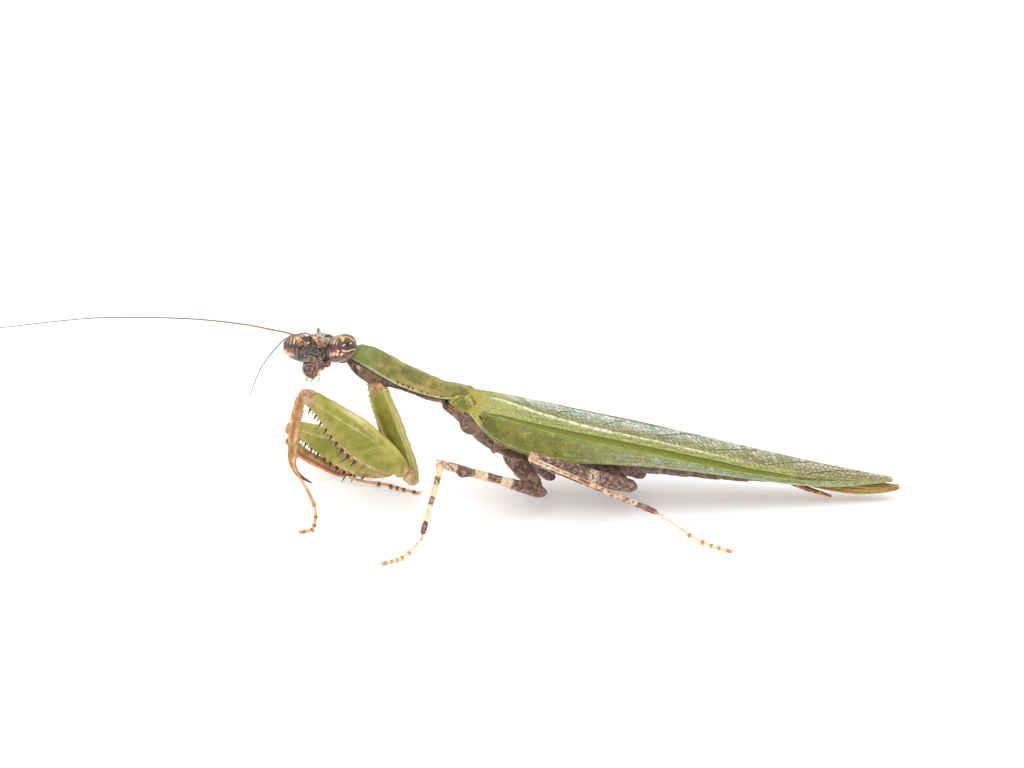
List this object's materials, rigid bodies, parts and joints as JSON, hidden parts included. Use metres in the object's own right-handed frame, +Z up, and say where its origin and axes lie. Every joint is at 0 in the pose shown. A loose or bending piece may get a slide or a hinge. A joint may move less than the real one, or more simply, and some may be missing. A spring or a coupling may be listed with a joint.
{
  "type": "praying mantis",
  "caption": "Life-size still praying mantis standing with head turned, raptorial forelegs folded beneath and green veined wings laid along the back.",
  "frame": {"origin": "on the floor under the middle of the mantis, feelers included", "axes": "+Z up; the mantis heads towards -X, its left side is towards -Y"},
  "size_m": [0.0904, 0.0442, 0.0204],
  "materials": {
    "head_cuticle": "rough dark grey-brown cuticle",
    "palp": "pale translucent cuticle",
    "eye": "glossy bronze with pale stripes",
    "antenna": "ringed orange-brown",
    "bark_cuticle": "mottled bark-brown cuticle",
    "belly_cuticle": "soft brown-grey belly plates",
    "shield": "satin leaf-green cuticle",
    "cercus": "segmented tawny",
    "forewing": "veined green wing sheet",
    "hindwing": "veined amber wing sheet",
    "foreleg_green": "satin yellow-green cuticle",
    "foreleg_tawny": "satin tawny cuticle",
    "banded_leg": "cream cuticle with brown bands"
  },
  "bodies": {
    "root": {"head": "head_cuticle", "mouthparts": "palp", "eye_left": "eye", "eye_right": "eye", "antenna_left": "antenna", "antenna_right": "antenna", "neck": "bark_cuticle", "prosternum": "bark_cuticle", "pterothorax": "bark_cuticle", "abdomen": "belly_cuticle", "pronotum": "shield", "cercus_left": "cercus", "cercus_right": "cercus", "tegmen_left": "forewing", "tegmen_right": "forewing", "hindwing_left": "hindwing", "hindwing_right": "hindwing", "foreleg_coxa_left": "foreleg_green", "foreleg_femur_left": "foreleg_green", "foreleg_tibia_left": "foreleg_tawny", "foreleg_tarsus_left": "foreleg_tawny", "midleg_left_coxa": "bark_cuticle", "midleg_left_femur": "banded_leg", "midleg_left_tibia": "banded_leg", "midleg_left_tarsus": "banded_leg", "hindleg_left_coxa": "bark_cuticle", "hindleg_left_femur": "banded_leg", "hindleg_left_tibia": "banded_leg", "hindleg_left_tarsus": "banded_leg", "foreleg_coxa_right": "foreleg_green", "foreleg_femur_right": "foreleg_green", "foreleg_tibia_right": "foreleg_tawny", "foreleg_tarsus_right": "foreleg_tawny", "midleg_right_coxa": "bark_cuticle", "midleg_right_femur": "banded_leg", "midleg_right_tibia": "banded_leg", "midleg_right_tarsus": "banded_leg", "hindleg_right_coxa": "bark_cuticle", "hindleg_right_femur": "banded_leg", "hindleg_right_tibia": "banded_leg", "hindleg_right_tarsus": "banded_leg"}
  },
  "joints": []
}
